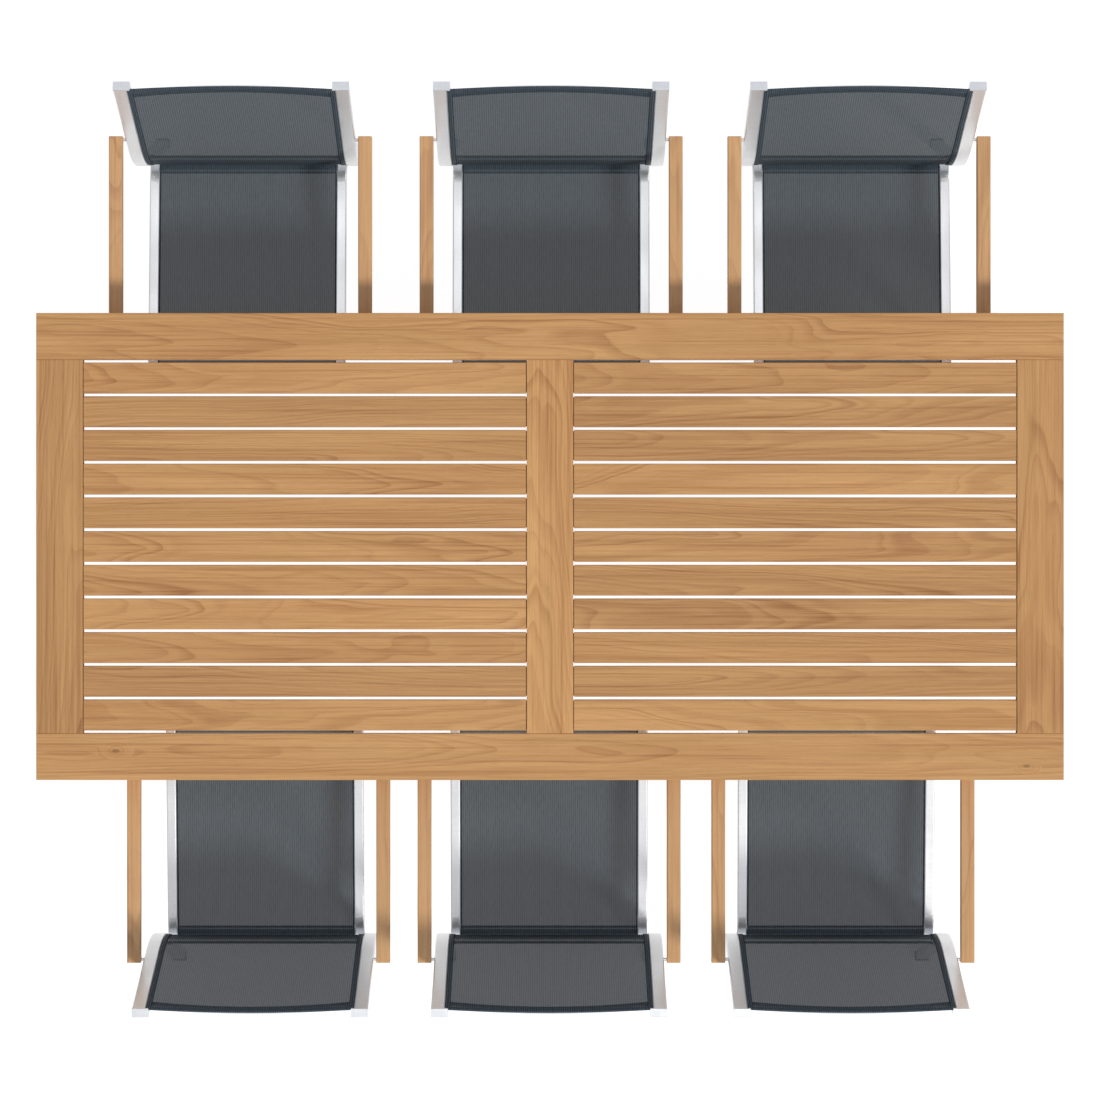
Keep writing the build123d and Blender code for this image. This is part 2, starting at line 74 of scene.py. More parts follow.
# %% Camera
CAMERA_HEIGHT, CAMERA_Y = 8.695, -0.0075
LENS, SENSOR = 121.6, 36.0
camera_data = bpy.data.cameras.new("overhead_camera")
camera_data.lens = LENS
camera_data.sensor_width = SENSOR
camera = bpy.data.objects.new("overhead_camera", camera_data)
camera.location = (0.0, CAMERA_Y, CAMERA_HEIGHT)
bpy.context.scene.collection.objects.link(camera)
bpy.context.scene.camera = camera
seen_wide = SENSOR / LENS * (CAMERA_HEIGHT - cad_box[1][2])
print("camera sees", round(seen_wide, 3), "m at the chair backs")

# %% [markdown]
# ## Light
# A soft studio: a wide key light from one side, two panels overhead that give the steel something
# bright to reflect, and an even pale world that fills the shadows. The broad panel covers the whole
# set. The smaller, brighter one hangs towards the back row, so that row's rails shine more. Both are
# there for reflections alone, so they are hidden from matte surfaces. A sun lamp stands in for a
# distant softbox, because all six chairs then get the same light from the same side. Its angle is
# what makes the edges of its shadows soft.

# %% Key light, overhead panels and world
KEY_FROM = Vector((0.6, -0.7, 1.0))
KEY_SOFTNESS = radians(9)
key_data = bpy.data.lights.new("key_light", "SUN")
key_data.energy = 2.0
key_data.angle = KEY_SOFTNESS
key_data.color = (1.0, 0.97, 0.93)
key = bpy.data.objects.new("key_light", key_data)
key.rotation_euler = KEY_FROM.to_track_quat("Z", "Y").to_euler()
bpy.context.scene.collection.objects.link(key)

BROAD_SIDE, BROAD_HEIGHT = 26.0, 11.5
BRIGHT_SIDE, BRIGHT_HEIGHT, BRIGHT_Y = BROAD_SIDE / 3.5, 11.0, 3.0


def reflection_panel(name, side, y, height, brightness):
    """A square panel that faces down and is hidden from matte surfaces."""
    panel_data = bpy.data.lights.new(name, "AREA")
    panel_data.size = side
    panel_data.energy = brightness * pi * side**2
    panel = bpy.data.objects.new(name, panel_data)
    panel.location = (0.0, y, height)
    panel.visible_diffuse = False
    bpy.context.scene.collection.objects.link(panel)


reflection_panel("overhead_panel", BROAD_SIDE, 0.0, BROAD_HEIGHT, 0.36)
reflection_panel("zenith_panel", BRIGHT_SIDE, BRIGHT_Y, BRIGHT_HEIGHT, 0.78)

world = bpy.data.worlds.new("studio_world")
world.use_nodes = True
sky = world.node_tree.nodes["Background"]
sky.inputs["Color"].default_value = (0.94, 0.98, 1.07, 1.0)
sky.inputs["Strength"].default_value = 0.52
bpy.context.scene.world = world
key_lean = degrees(KEY_FROM.angle(Vector((0, 0, 1))))
print("key light comes from", round(key_lean, 1), "degrees off the vertical")

# %% [markdown]
# Blender's default view transform softens bright colours. A product shot on white wants the floor
# pure white and the wood as warm as its own colour, so the plain transform is chosen.

# %% Colour management
bpy.context.scene.view_settings.view_transform = "Standard"
print("view transform", bpy.context.scene.view_settings.view_transform)

# %% [markdown]
# ## Small helpers for materials
# A material here is a graph of nodes, and a few helpers keep the graphs readable. The main one adds
# a node and connects what it is given: a socket is linked, and a number is set directly on the node.
# The others add the kinds of node that come up most: arithmetic, a mix of colours, the length of a
# vector, noise, and a clamped ramp.

# %% Node helpers
def new_material(name):
    """An empty node material: its graph and its Principled shader."""
    material = bpy.data.materials.new(name)
    material.use_nodes = True
    return material, material.node_tree, material.node_tree.nodes["Principled BSDF"]


def add(graph, kind, inputs=None, **settings):
    """Add a node, set its options, and link or set its inputs."""
    made = graph.nodes.new(kind)
    for option, value in settings.items():
        setattr(made, option, value)
    for socket, value in (inputs or {}).items():
        if isinstance(value, bpy.types.NodeSocket):
            graph.links.new(value, made.inputs[socket])
        else:
            made.inputs[socket].default_value = value
    return made


def calc(graph, operation, a, b=0.0, c=0.0):
    """One Math node; a, b and c are numbers or sockets."""
    return add(graph, "ShaderNodeMath", {0: a, 1: b, 2: c}, operation=operation).outputs[0]


def blend_colour(graph, amount, first, second, how="MIX"):
    """Mix two colours by an amount from 0 to 1."""
    made = add(graph, "ShaderNodeMix", {0: amount, 6: first, 7: second}, data_type="RGBA", blend_type=how)
    return made.outputs[2]


def vector_length(graph, a, b):
    """Length of the vector (a, b, 0)."""
    vector = add(graph, "ShaderNodeCombineXYZ", {0: a, 1: b}).outputs[0]
    return add(graph, "ShaderNodeVectorMath", {0: vector}, operation="LENGTH").outputs["Value"]


def noise(graph, vector, scale, detail=2.0, **more):
    """A noise value at a stretched coordinate: scale is (along, across, deep)."""
    stretched = add(graph, "ShaderNodeVectorMath", {0: vector, 1: scale}, operation="MULTIPLY").outputs[0]
    settings = {"Vector": stretched, "Scale": 1.0, "Detail": detail, **more}
    return add(graph, "ShaderNodeTexNoise", settings).outputs[0]


def ramp(graph, value, low, high, floor=0.0, ceiling=1.0):
    """Map a value from low..high to floor..ceiling, clamped."""
    return add(
        graph,
        "ShaderNodeMapRange",
        {"Value": value, "From Min": low, "From Max": high, "To Min": floor, "To Max": ceiling},
    ).outputs[0]


print("node helpers ready")

# %% [markdown]
# ## Teak
# Sawn teak shows the tree's growth rings. Rings are nested cylinders round the pith, so a board that
# is cut across them at a slant shows arches, and one cut along them shows straight lines. The
# material works the same way: it measures each point's distance from a slightly tilted pith line,
# bends that with noise, and turns it into dark latewood lines. Finer noise, stretched along the
# grain, adds fibres and pores. A knot is a spot that pushes the rings aside.

# %% Teak grain: ring distance
GRAIN_ORDER = {"X": ("X", "Y", "Z"), "Y": ("Y", "X", "Z"), "Z": ("Z", "X", "Y")}
RING_BEND, RING_WANDER = 0.035, 0.045
KNOT_PUSH, KNOT_STRETCH = 0.022, 0.45


def board_axes(graph, grain):
    """Object coordinates as (along, across, deep) for a board whose grain runs along one axis."""
    place = add(graph, "ShaderNodeTexCoord").outputs["Object"]
    split = add(graph, "ShaderNodeSeparateXYZ", {0: place})
    return [split.outputs[axis] for axis in GRAIN_ORDER[grain]]


def ring_phase(graph, along, across, deep, pith, slope, rings, knots):
    """Growth rings counted outwards from the pith: pith is (across, deep) in metres."""
    spot = add(graph, "ShaderNodeCombineXYZ", {0: along, 1: across, 2: deep}).outputs[0]
    bend = calc(graph, "SUBTRACT", noise(graph, spot, (1.3, 6.0, 6.0), 2.0), 0.5)
    side = calc(graph, "SUBTRACT", noise(graph, spot, (2.1, 11.0, 11.0), 2.0, Roughness=0.4), 0.5)
    level = calc(graph, "SUBTRACT", across, pith[0])
    out_across = calc(graph, "ADD", level, calc(graph, "MULTIPLY", bend, RING_BEND))
    tilted = calc(graph, "MULTIPLY_ADD", along, slope, calc(graph, "ADD", deep, pith[1]))
    out_deep = calc(graph, "MULTIPLY_ADD", side, RING_WANDER, tilted)
    reach = vector_length(graph, out_across, out_deep)
    dark = 0.0
    for knot_along, knot_across, radius in knots:
        lengthways = calc(graph, "MULTIPLY", calc(graph, "SUBTRACT", along, knot_along), KNOT_STRETCH)
        away = vector_length(graph, lengthways, calc(graph, "SUBTRACT", across, knot_across))
        push = ramp(graph, away, 0.0, radius * 3.2, KNOT_PUSH, 0.0)
        reach = calc(graph, "ADD", reach, push)
        dark = calc(graph, "MAXIMUM", dark, ramp(graph, away, radius * 0.35, radius, 1.0, 0.0))
    return calc(graph, "MULTIPLY", reach, rings), dark, spot


print("ring lines wander by up to", RING_WANDER * 500, "mm")

# %% [markdown]
# ## From rings to a finish
# Within one ring the wood darkens slowly and ends sharply, and no two rings are equally strong.
# Broad patches, long streaks, fibres and pores are added on top. Slats that share a mesh are told
# apart by their position: each gets a thrown place along the log, a pith of its own and a shade.
# Wood that has had more sun is bleached towards a greyer tone.

# %% Teak finish
TEAK_LIGHT = (0.668, 0.370, 0.143, 1.0)
TEAK_DARK = (0.340, 0.138, 0.040, 1.0)
TEAK_OLIVE = (0.450, 0.250, 0.082, 1.0)
TEAK_KNOT = (0.150, 0.058, 0.022, 1.0)
TEAK_BLEACHED = (0.520, 0.365, 0.235, 1.0)


def one_of_many(graph, along, across, pitch, count, shade, seed):
    """Split a mesh of slats into single ones: each slat's along, across, pith and lightness."""
    row = calc(graph, "FLOOR", calc(graph, "MULTIPLY_ADD", across, 1.0 / pitch, count / 2))
    bay = calc(graph, "MULTIPLY", calc(graph, "GREATER_THAN", along, 0.0), 40.0)
    label = calc(graph, "ADD", calc(graph, "ADD", row, bay), seed)
    dice = add(graph, "ShaderNodeTexWhiteNoise", {"W": label}, noise_dimensions="1D")
    faces = add(graph, "ShaderNodeSeparateXYZ", {0: dice.outputs["Color"]})
    centre = calc(graph, "MULTIPLY", calc(graph, "SUBTRACT", row, (count - 1) / 2), pitch)
    across = calc(graph, "SUBTRACT", across, centre)
    along = calc(graph, "MULTIPLY_ADD", faces.outputs[0], 7.0, along)
    pith_across = ramp(graph, faces.outputs[1], 0.0, 1.0, -0.075, 0.075)
    pith_deep = ramp(graph, faces.outputs[2], 0.0, 1.0, -0.80, -0.70)
    lightness = calc(graph, "MULTIPLY", ramp(graph, dice.outputs["Value"], 0.0, 1.0, 0.90, 1.07), shade)
    return along, across, (pith_across, pith_deep), lightness


def teak(
    name, grain, middle=0.0, pith=(0.03, -0.66), slope=0.045, rings=165.0, knots=(), rows=None, shade=1.0,
    seed=0.0, wash=0.0,
):
    """A teak material. middle is the board's middle across the grain; pith is (across, deep) of the
    log's centre and slope its tilt; rings is how many there are to a metre; a knot is (along, across,
    radius); rows is (pitch, count) for slats; wash is how far sun has bleached the wood."""
    material, graph, shader = new_material(name)
    along, across, deep = board_axes(graph, grain)
    lightness = shade
    if rows:
        along, across, pith, lightness = one_of_many(graph, along, across, *rows, shade, seed)
    else:
        across = calc(graph, "SUBTRACT", across, middle)
        along = calc(graph, "ADD", along, seed)
    phase, knot, spot = ring_phase(graph, along, across, deep, pith, slope, rings, knots)

    slow = {"W": calc(graph, "MULTIPLY", phase, 0.45), "Scale": 1.0, "Detail": 1.0}
    uneven = add(graph, "ShaderNodeTexNoise", slow, noise_dimensions="1D").outputs[0]
    phase = calc(graph, "MULTIPLY_ADD", uneven, 2.4, phase)
    ring = calc(graph, "FRACT", phase)
    late = calc(graph, "MULTIPLY", ramp(graph, ring, 0.35, 0.92), ramp(graph, ring, 1.0, 0.93))
    strength = ramp(graph, uneven, 0.30, 0.70, 0.15, 1.0)
    late = calc(graph, "MULTIPLY", late, strength)
    broad = ramp(graph, noise(graph, spot, (0.9, 14.0, 14.0), 3.0), 0.30, 0.70)
    fibre = ramp(graph, noise(graph, spot, (7.0, 330.0, 330.0), 4.0, Roughness=0.62), 0.30, 0.70)
    streak = ramp(graph, noise(graph, spot, (1.6, 150.0, 150.0), 2.0, Roughness=0.55), 0.50, 0.68)
    pore = ramp(graph, noise(graph, spot, (32.0, 1300.0, 1300.0), 1.0), 0.60, 0.72)

    depth = calc(graph, "MULTIPLY", late, 0.40)
    depth = calc(graph, "MULTIPLY_ADD", broad, 0.34, depth)
    depth = calc(graph, "MULTIPLY_ADD", streak, 0.30, depth)
    depth = calc(graph, "MULTIPLY_ADD", fibre, 0.24, depth)
    colour = blend_colour(graph, depth, TEAK_LIGHT, TEAK_DARK)
    patch = ramp(graph, noise(graph, spot, (1.7, 19.0, 19.0), 2.0), 0.50, 0.78, 0.0, 0.45)
    colour = blend_colour(graph, patch, colour, TEAK_OLIVE)
    colour = blend_colour(graph, calc(graph, "MULTIPLY", pore, 0.22), colour, TEAK_KNOT)
    if wash:
        colour = blend_colour(graph, wash, colour, TEAK_BLEACHED)
    if knots:
        colour = blend_colour(graph, calc(graph, "MULTIPLY", knot, 0.55), colour, TEAK_KNOT)
    toned = add(graph, "ShaderNodeVectorMath", {0: colour, 3: lightness}, operation="SCALE").outputs[0]
    graph.links.new(toned, shader.inputs["Base Color"])

    graph.links.new(ramp(graph, fibre, 0.0, 1.0, 0.50, 0.64), shader.inputs["Roughness"])
    sunk = calc(graph, "ADD", calc(graph, "MULTIPLY", late, 0.4), pore)
    relief = calc(graph, "SUBTRACT", calc(graph, "MULTIPLY", fibre, 0.5), sunk)
    bump = add(graph, "ShaderNodeBump", {"Strength": 0.18, "Distance": 0.0005, "Height": relief})
    graph.links.new(bump.outputs[0], shader.inputs["Normal"])
    shader.inputs["Specular IOR Level"].default_value = 0.30
    return material


print("teak from", [round(c, 2) for c in TEAK_LIGHT[:3]], "to", [round(c, 2) for c in TEAK_DARK[:3]])

# %% [markdown]
# ## Which board gets which cut
# Grain follows a board's length, so the rails and slats run along X, the end and middle boards and
# the arms along Y, and the legs along Z. The boards of the top each have their own pith and seed, as
# boards from different logs do; opposite aprons share one, and so do some legs. All slats of a bay
# are one mesh, so their material works out from the position across which slat a point is on.

# %% Teak materials, board by board
def finish(node_name, material):
    """Put one material in all of a CAD node's slots."""
    carried = bpy.data.objects[node_name]
    if not carried.material_slots:
        carried.data.materials.append(material)
    for slot in carried.material_slots:
        slot.link = "OBJECT"
        slot.material = material


BOARD_WIDE = 0.100
SLAT_COUNT, SLAT_GAP = 11, 0.006
TOP_WIDE = 1.000
SLAT_PITCH = (TOP_WIDE - 2 * BOARD_WIDE - SLAT_GAP) / SLAT_COUNT
FRONT_KNOTS = ((-0.93, 0.012, 0.006), (1.02, -0.02, 0.005))
rail_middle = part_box("table_back_rail")[1][1] - BOARD_WIDE / 2
end_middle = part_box("table_right_end_board")[1][0] - BOARD_WIDE / 2
teak_boards = {
    "front_rail": teak("teak_front_rail", "X", -rail_middle, (0.012, -0.685), 0.020, knots=FRONT_KNOTS),
    "back_rail": teak("teak_back_rail", "X", rail_middle, (-0.030, -0.700), 0.026, seed=5.3),
    "left_end_board": teak("teak_left_end", "Y", -end_middle, (0.05, -0.66), 0.03, seed=2.1, shade=0.92),
    "centre_board": teak("teak_centre", "Y", 0.0, (-0.022, -0.690), 0.05, seed=1.2, shade=1.09),
    "right_end_board": teak("teak_right_end", "Y", end_middle, (0.01, -0.67), 0.04, seed=8.4, shade=1.0),
}
slat_teak = teak("teak_slats", "X", rows=(SLAT_PITCH, SLAT_COUNT), slope=0.035, rings=185.0, seed=3.0)
teak_boards["left_slats"] = teak_boards["right_slats"] = slat_teak
apron_cuts = {"front": ("X", 11.0), "back": ("X", 11.0), "left": ("Y", 13.0), "right": ("Y", 13.0)}
for side, (grain, seed) in apron_cuts.items():
    apron = f"{side}_apron"
    teak_boards[apron] = teak(f"teak_{apron}", grain, 0.0, (0.2, -0.60), 0.02, seed=seed, shade=0.96)
teak_boards["cross_bearer"] = teak("teak_bearer", "Y", 0.0, (0.0, -0.62), 0.03, seed=17.0, shade=0.95)
leg_seeds = {"front_left": 17.0, "front_right": 18.7, "back_left": 15.3, "back_right": 17.0}
for corner, seed in leg_seeds.items():
    leg = f"{corner}_leg"
    teak_boards[leg] = teak(f"teak_{leg}", "Z", 0.0, (0.9, 0.3), 0.02, seed=seed, shade=0.97)
for board, material in teak_boards.items():
    finish(f"table_{board}", material)
print(len(teak_boards), "table nodes in teak; slat pitch", round(SLAT_PITCH * 1000, 2), "mm")

# %% [markdown]
# ## Arms
# The arms are a little paler and more bleached than the top. Each arm has its own seed, and each
# chair its own pith, so no two look alike.

# %% Teak arms
arm_count = 0
for number in range(1, 7):
    for hand in ("left", "right"):
        node_name = f"chair_{number}_{hand}_armrest"
        low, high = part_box(node_name)
        middle = (low[0] + high[0]) / 2
        pith, seed = (0.03 - 0.01 * number, -0.60), number * 3.1 + len(hand)
        arm_teak = teak(
            f"teak_{node_name}", "Y", middle, pith, 0.02, rings=170.0, seed=seed, shade=1.12, wash=0.24
        )
        finish(node_name, arm_teak)
        arm_count += 1
print(arm_count, "arms in teak")

# %% [markdown]
# ## Brushed stainless steel
# The tubes were brushed along their length, which leaves fine scratches that blur reflections. The
# posts, legs and rails all lie in planes of constant X, so scratches that change quickly with X and
# slowly with Y and Z run along every one of them, and round the cross tubes as polishing leaves
# them there. The faces that look sideways see no change with X, so they get a second, softer layer.

# %% Brushed steel
def brushed_steel(name, colour, rough):
    """Metal with scratches along the tubes."""
    material, graph, shader = new_material(name)
    place = add(graph, "ShaderNodeTexCoord").outputs["Object"]
    scratch = noise(graph, place, (1500.0, 22.0, 22.0), 3.0, Roughness=0.6)
    sides = noise(graph, place, (30.0, 420.0, 140.0), 2.0)
    haze = noise(graph, place, (18.0, 9.0, 9.0), 2.0)
    mark = calc(graph, "ADD", calc(graph, "MULTIPLY", scratch, 0.6), calc(graph, "MULTIPLY", sides, 0.4))
    tone = ramp(graph, mark, 0.32, 0.68)
    dim = tuple(c * 0.90 for c in colour) + (1.0,)
    graph.links.new(blend_colour(graph, tone, dim, tuple(colour) + (1.0,)), shader.inputs["Base Color"])
    scratched = ramp(graph, mark, 0.3, 0.7, 0.0, 0.10)
    wear = calc(graph, "ADD", scratched, ramp(graph, haze, 0.35, 0.65, rough - 0.03, rough + 0.05))
    graph.links.new(wear, shader.inputs["Roughness"])
    bump = add(graph, "ShaderNodeBump", {"Strength": 0.12, "Distance": 0.0002, "Height": mark})
    graph.links.new(bump.outputs[0], shader.inputs["Normal"])
    shader.inputs["Metallic"].default_value = 0.78
    return material


steel = brushed_steel("steel_tube", (0.795, 0.812, 0.824), 0.30)
bolt_steel = brushed_steel("steel_bolt", (0.62, 0.62, 0.63), 0.26)
for number in range(1, 7):
    finish(f"chair_{number}_frame", steel)
    finish(f"chair_{number}_arm_bolts", bolt_steel)
print("steel on 6 frames and their bolts")

# %% [markdown]
# ## Zinc brackets and moulded glides
# Zinc plating crystallises in faint patches, so its colour and gloss change from cell to cell. The
# glides are moulded plastic: nearly black, with a fine grain that keeps them from shining.

# %% Zinc and plastic
ZINC_DARK, ZINC_LIGHT = (0.52, 0.54, 0.56, 1.0), (0.68, 0.69, 0.70, 1.0)
PLASTIC_DARK, PLASTIC_LIGHT = (0.018, 0.018, 0.019, 1.0), (0.040, 0.040, 0.042, 1.0)

zinc, graph, shader = new_material("zinc_plate")
place = add(graph, "ShaderNodeTexCoord").outputs["Object"]
cells = add(graph, "ShaderNodeTexVoronoi", {"Vector": place, "Scale": 170.0}).outputs["Color"]
patch = add(graph, "ShaderNodeSeparateColor", {0: cells}).outputs[0]
graph.links.new(blend_colour(graph, patch, ZINC_DARK, ZINC_LIGHT), shader.inputs["Base Color"])
graph.links.new(ramp(graph, patch, 0.0, 1.0, 0.34, 0.50), shader.inputs["Roughness"])
shader.inputs["Metallic"].default_value = 1.0
finish("table_corner_brackets", zinc)

plastic, graph, shader = new_material("glide_plastic")
place = add(graph, "ShaderNodeTexCoord").outputs["Object"]
grain = noise(graph, place, (900.0, 900.0, 900.0), 2.0)
graph.links.new(blend_colour(graph, grain, PLASTIC_DARK, PLASTIC_LIGHT), shader.inputs["Base Color"])
graph.links.new(ramp(graph, grain, 0.3, 0.7, 0.45, 0.62), shader.inputs["Roughness"])
bump = add(graph, "ShaderNodeBump", {"Strength": 0.25, "Distance": 0.0002, "Height": grain})
graph.links.new(bump.outputs[0], shader.inputs["Normal"])
finish("table_glides", plastic)
for number in range(1, 7):
    finish(f"chair_{number}_glides", plastic)
print("zinc on the brackets, plastic on 7 sets of glides")

# %% [markdown]
# ## Sling fabric
# The slings are an open weave of coated polyester. Coarse ribs run up the cloth in pairs, finer
# picks cross them, and a small hole is left between. The holes are too fine to cut one by one without
# false patterns, so the cloth is slightly see-through all over, and most so where the holes lie.
# The weave follows the cloth, not the room, so it reads the cloth's own UV map, which holds flat
# distances in metres. The hems are the same yarn with nothing showing through.

# %% Mesh weave
RIB_PITCH = 0.00235
PICK_PITCH = 0.00165
YARN = (0.016, 0.021, 0.026, 1.0)
YARN_LIGHT = (0.066, 0.090, 0.110, 1.0)


def yarn_wave(graph, distance, pitch):
    """Height of round yarns side by side: 1 on a yarn's crown, 0 between two."""
    turn = calc(graph, "MULTIPLY", distance, 2 * pi / pitch)
    return calc(graph, "MULTIPLY_ADD", calc(graph, "COSINE", turn), 0.5, 0.5)


def mesh_cloth(name, openness, light):
    """Woven mesh. openness is the share of light that passes, on average; light scales how pale it is."""
    material, graph, shader = new_material(name)
    uv = add(graph, "ShaderNodeUVMap", uv_map="cloth").outputs[0]
    split = add(graph, "ShaderNodeSeparateXYZ", {0: uv})
    across, along = split.outputs[0], split.outputs[1]
    rib = yarn_wave(graph, across, RIB_PITCH)
    pair = yarn_wave(graph, across, RIB_PITCH * 2)
    pick = yarn_wave(graph, along, PICK_PITCH)
    crown = calc(graph, "MAXIMUM", rib, pick)
    slub = ramp(graph, noise(graph, uv, (430.0, 55.0, 1.0), 1.0), 0.32, 0.68)
    tone = calc(graph, "MULTIPLY_ADD", pair, 1.0, calc(graph, "MULTIPLY_ADD", crown, 0.12, -0.17))
    tone = calc(graph, "MULTIPLY", calc(graph, "MULTIPLY_ADD", slub, 0.34, tone), light)
    colour = blend_colour(graph, tone, YARN, YARN_LIGHT)
    graph.links.new(colour, shader.inputs["Base Color"])
    graph.links.new(ramp(graph, crown, 0.0, 1.0, 0.80, 0.62), shader.inputs["Roughness"])
    bump = add(graph, "ShaderNodeBump", {"Strength": 0.14, "Distance": 0.0003, "Height": crown})
    graph.links.new(bump.outputs[0], shader.inputs["Normal"])
    shader.inputs["Specular IOR Level"].default_value = 0.06
    if openness:
        off_rib, off_pick = calc(graph, "SUBTRACT", 1.0, rib), calc(graph, "SUBTRACT", 1.0, pick)
        hole = calc(graph, "MULTIPLY", off_rib, off_pick)
        gap = calc(graph, "MULTIPLY_ADD", hole, 1.6 * openness, 0.6 * openness)
        graph.links.new(calc(graph, "SUBTRACT", 1.0, gap), shader.inputs["Alpha"])
    return material


back_weave = mesh_cloth("sling_back_mesh", 0.064, 0.92)
seat_weave = mesh_cloth("sling_seat_mesh", 0.052, 1.45)
hem_weave = mesh_cloth("sling_hem", 0.0, 1.45)
print("ribs every", RIB_PITCH * 1000, "mm, picks every", PICK_PITCH * 1000, "mm")

# %% [markdown]
# ## A way to lay cloth
# A sling is a strip of constant width that runs straight, turns round a bar, and runs on. So it is
# laid like a path: start with one row of edges across the chair, and extrude it step by step,
# either straight on or round a turn. Each new row remembers how far along the cloth it is, which
# later becomes the cloth's UV map, and which way it faces, so that the cloth can be made to sag.
# Chairs are laid in their own frame, with the origin amid the feet and +Y to the back.

# %% Cloth layer
def lay_cloth(name, left, right, start, heading, moves, columns, sag=None, toward=None):
    """Lay a strip from x = left to right. start is (y, z), heading is the direction's angle above +Y.
    A move is ("run", length, steps) or ("turn", radius, angle, steps), where a positive angle turns left."""
    bm = bmesh.new()
    ends = [bmesh.ops.create_vert(bm, co=(x, *start))["vert"][0] for x in (left, right)]
    bmesh.ops.contextual_create(bm, geom=ends)
    bmesh.ops.subdivide_edges(bm, edges=bm.edges[:], cuts=columns - 1)
    walked_layer = bm.verts.layers.float.new("walked")
    facing_layer = bm.verts.layers.float.new("facing")
    row = bm.edges[:]
    spot, walked = Vector((0.0, *start)), 0.0
    for vert in bm.verts:
        vert[facing_layer] = heading
    for kind, amount, *rest in moves:
        steps = rest[-1]
        for _ in range(steps):
            made = bmesh.ops.extrude_edge_only(bm, edges=row)["geom"]
            fresh = [item for item in made if isinstance(item, bmesh.types.BMVert)]
            edges = [item for item in made if isinstance(item, bmesh.types.BMEdge)]
            row = [edge for edge in edges if all(vert in fresh for vert in edge.verts)]
            if kind == "run":
                step = Vector((0.0, cos(heading), sin(heading))) * (amount / steps)
                bmesh.ops.translate(bm, verts=fresh, vec=step)
                spot, walked = spot + step, walked + amount / steps
            else:
                angle = rest[0] / steps
                side = 1 if angle > 0 else -1
                pivot = spot + Vector((0.0, -sin(heading), cos(heading))) * side * amount
                bmesh.ops.rotate(bm, verts=fresh, cent=pivot, matrix=Matrix.Rotation(angle, 3, "X"))
                spot = pivot + Matrix.Rotation(angle, 3, "X") @ (spot - pivot)
                heading, walked = heading + angle, walked + abs(angle) * amount
            for vert in fresh:
                vert[walked_layer], vert[facing_layer] = walked, heading
    uv_layer = bm.loops.layers.uv.new("cloth")
    for face in bm.faces:
        face.smooth = True
        for loop in face.loops:
            loop[uv_layer].uv = (loop.vert.co.x, loop.vert[walked_layer])
    if sag:
        for vert in bm.verts:
            facing = vert[facing_layer]
            square_on = Vector((0.0, -sin(facing), cos(facing)))
            vert.co += (toward or square_on) * sag(vert.co.x, vert[walked_layer])
    mesh = bpy.data.meshes.new(name)
    bm.to_mesh(mesh)
    bm.free()
    return mesh, walked


print("cloth layer ready")

# %% [markdown]
# ## The line of a back post
# The back sling follows the front of the two bent posts, so its line comes from theirs: the knee
# where the rear leg and the back would meet, the angles of both, and the radius of the bend.

# %% Post line
RECLINE, SPLAY = radians(18.2), radians(11.87)
KNEE = Vector((0.0, 0.1467, 0.483))
KNEE_RADIUS, POST_RISE, POST_INNER = 0.390, 0.405, 0.219
CLOTH_FORWARD, TOP_CLEAR = 0.007, 0.0030
up_back = Vector((0.0, sin(RECLINE), cos(RECLINE)))
rearward = Vector((0.0, cos(RECLINE), -sin(RECLINE)))
bend_start = KNEE_RADIUS * tan((RECLINE + SPLAY) / 2)
bend_pivot = KNEE + up_back * bend_start + rearward * KNEE_RADIUS
cloth_top = KNEE + up_back * (POST_RISE - TOP_CLEAR) - rearward * CLOTH_FORWARD
cloth_radius = KNEE_RADIUS + CLOTH_FORWARD
KNEE_BAR = Vector((0.0, 0.1635, 0.440))
print("back cloth starts at y, z =", [round(v, 4) for v in cloth_top[1:]])
print("it bends with radius", round(cloth_radius, 3), "m")

# %% [markdown]
# ## Back sling
# The cloth hangs from the top edge down the front of the posts, rounds the knee, and is looped
# round the knee bar, where it is sewn to itself. Between the posts it is pulled nearly flat, yet it
# still gives a little, more at the top where only its hem holds it. It stays a single layer, so that
# light passes the weave only once; the hems give it its thickness at the edges.

# %% Back sling
BACK_SAG = 0.0070
FULL_SAG_TO, SAG_FADE = 0.05, 0.36
KNEE_LOOP = radians(225)
down_heading = -(pi / 2 + RECLINE)
back_straight = POST_RISE - TOP_CLEAR - bend_start
to_bar = KNEE_BAR - bend_pivot
bend_angle = (-rearward).angle(to_bar)
loop_radius = cloth_radius - to_bar.length


def back_sag(x, walked):
    """Depth of the back cloth behind a flat one: most at the top, none at the knee bar."""
    give = min(1.0, max(0.0, 1.0 - (walked - FULL_SAG_TO) / SAG_FADE))
    return BACK_SAG * (1 - (x / POST_INNER) ** 2) * give


def back_moves(forward=0.0):
    """The back cloth's way down, or that of a layer this far in front of it."""
    return [
        ("run", back_straight, 18),
        ("turn", cloth_radius + forward, bend_angle, 12),
        ("turn", loop_radius + forward, KNEE_LOOP, 14),
    ]


back_mesh, back_length = lay_cloth(
    "back_cloth", -POST_INNER, POST_INNER, cloth_top[1:], down_heading, back_moves(), 32, back_sag
)
print("back cloth is", round(back_length, 3), "m long; loop radius", round(loop_radius * 1000, 1), "mm")

# %% [markdown]
# ## Hems of the back
# Each side of the back is folded over and slid into the post's track, which shows as a dark band.
# The top edge is folded over as well. A side hem is laid like the cloth, a millimetre in front of it;
# the top one wraps over the cloth's edge. All are given the thickness of two layers later on.

